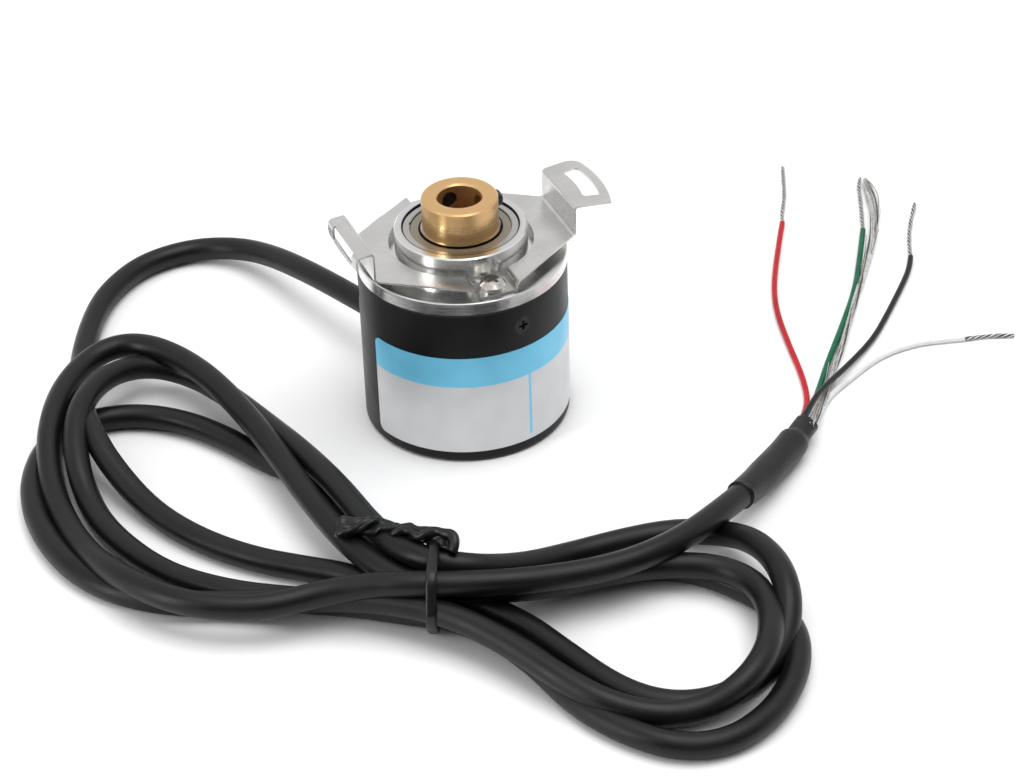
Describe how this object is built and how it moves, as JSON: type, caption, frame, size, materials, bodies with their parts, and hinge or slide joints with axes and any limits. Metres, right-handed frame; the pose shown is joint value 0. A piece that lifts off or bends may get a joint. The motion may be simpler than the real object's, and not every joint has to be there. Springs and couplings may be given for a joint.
{
  "type": "hollow shaft rotary encoder",
  "caption": "Hollow shaft rotary encoder with a round body, a blind bore with radial set screws, a sprung slotted mounting plate and a tied signal cable with stripped wires.",
  "frame": {"origin": "on the shaft axis, at the closed flat end of the cover, which is the surface the encoder stands on", "axes": "+Z along the shaft towards the open bore; the two raised ears of the spring plate lie along +X and -X, its two screws along +Y and -Y"},
  "size_m": [0.1959, 0.1809, 0.0447],
  "materials": {
    "flange_aluminium": "fine turned",
    "cover_black": "satin anodised",
    "black_screw": "gloss black",
    "label_foil": "satin foil",
    "brass": "satin turned",
    "grub_black": "black oxide",
    "spring_steel": "blued spring steel",
    "turned_aluminium": "turned",
    "disc_metal": "etched",
    "black_moulding": "moulded",
    "lamp_resin": "clear resin",
    "mask_glass": "polished",
    "board_green": "solder resist",
    "nickel_screw": "nickel plated",
    "plate_steel": "satin sheet",
    "black_rubber": "matt",
    "core_grey": "extruded",
    "jacket_black": "satin extruded",
    "tie_black": "plastic-coated wire",
    "shrink_black": "satin",
    "tinned_strand": "tinned copper",
    "screen_braid": "tinned braid",
    "core_red": "extruded",
    "core_green": "extruded",
    "core_black": "extruded",
    "core_white": "extruded",
    "bearing_steel": "ground",
    "ball_steel": "polished",
    "cage_plastic": "moulded",
    "shield_steel": "pressed sheet"
  },
  "bodies": {
    "housing": {"flange": "flange_aluminium", "cover": "cover_black", "cover_screws": "black_screw", "label": "label_foil", "spring_plate": "plate_steel", "plate_screws": "nickel_screw", "front_outer_ring": "bearing_steel", "front_shields": "shield_steel", "front_snap_ring": "spring_steel", "rear_outer_ring": "bearing_steel", "rear_shields": "shield_steel", "lamp_holder": "black_moulding", "lamp": "lamp_resin", "reticle": "mask_glass", "detector": "black_moulding", "sensor_board": "board_green", "board_chips": "black_moulding", "board_posts": "brass", "board_screws": "nickel_screw", "cable_grommet": "black_rubber", "cable_clip": "turned_aluminium", "inner_cores": "core_grey", "cable_lead": "jacket_black", "cable_hank": "jacket_black", "cable_tie": "tie_black", "cable_tail": "jacket_black", "heat_shrink": "shrink_black", "wire_red": "core_red", "wire_green": "core_green", "wire_black": "core_black", "wire_white": "core_white", "bare_ends": "tinned_strand", "shield_braid": "screen_braid"},
    "shaft": {"hollow_shaft": "brass", "front_inner_ring": "bearing_steel", "rear_inner_ring": "bearing_steel", "shaft_clip": "spring_steel", "disc_hub": "turned_aluminium", "code_disc": "disc_metal", "disc_clamp": "turned_aluminium"},
    "front_cage_set": {"front_balls": "ball_steel", "front_cage": "cage_plastic"},
    "rear_cage_set": {"rear_balls": "ball_steel", "rear_cage": "cage_plastic"},
    "grub_a": {"set_screw_a": "grub_black"},
    "grub_b": {"set_screw_b": "grub_black"}
  },
  "joints": [
    {"name": "shaft_spin", "type": "hinge", "parent": "housing", "child": "shaft", "pos_m": [0, 0, 0.03], "axis": [0, 0, 1], "continuous": true},
    {"name": "front_cage_spin", "type": "hinge", "parent": "housing", "child": "front_cage_set", "pos_m": [0, 0, 0.036], "axis": [0, 0, 1], "continuous": true},
    {"name": "rear_cage_spin", "type": "hinge", "parent": "housing", "child": "rear_cage_set", "pos_m": [0, 0, 0.026], "axis": [0, 0, 1], "continuous": true},
    {"name": "grub_a_turn_in", "type": "slide", "parent": "shaft", "child": "grub_a", "axis": [0.9903, 0.1392, 0], "range_m": [-0.0012, 0.0012]},
    {"name": "grub_b_turn_in", "type": "slide", "parent": "shaft", "child": "grub_b", "axis": [-0.1392, 0.9903, 0], "range_m": [-0.0001, 0.0023]}
  ],
  "couplings": [
    {"joint": "front_cage_spin", "follows": "shaft_spin", "ratio": 0.42788},
    {"joint": "rear_cage_spin", "follows": "shaft_spin", "ratio": 0.42788}
  ]
}
